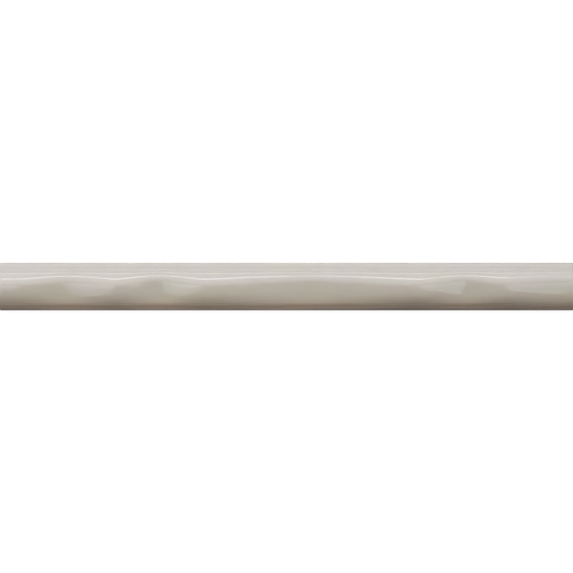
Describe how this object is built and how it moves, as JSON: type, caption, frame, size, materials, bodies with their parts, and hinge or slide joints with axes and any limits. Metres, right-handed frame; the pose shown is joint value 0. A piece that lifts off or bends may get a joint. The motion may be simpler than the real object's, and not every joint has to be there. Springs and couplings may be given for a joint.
{
  "type": "pencil liner tile",
  "caption": "Long narrow glazed ceramic trim tile: a wavy rounded bead between two small ledges, with a flat keyed back for adhesive.",
  "frame": {"origin": "middle of the flat back, which lies on the ground plane", "axes": "+X along the length, +Y towards the edge with the wide ledge, +Z out of the glazed face"},
  "size_m": [0.3, 0.025, 0.013],
  "materials": {
    "liner_tile": "gloss"
  },
  "bodies": {
    "root": {"liner_tile": "liner_tile"}
  },
  "joints": []
}
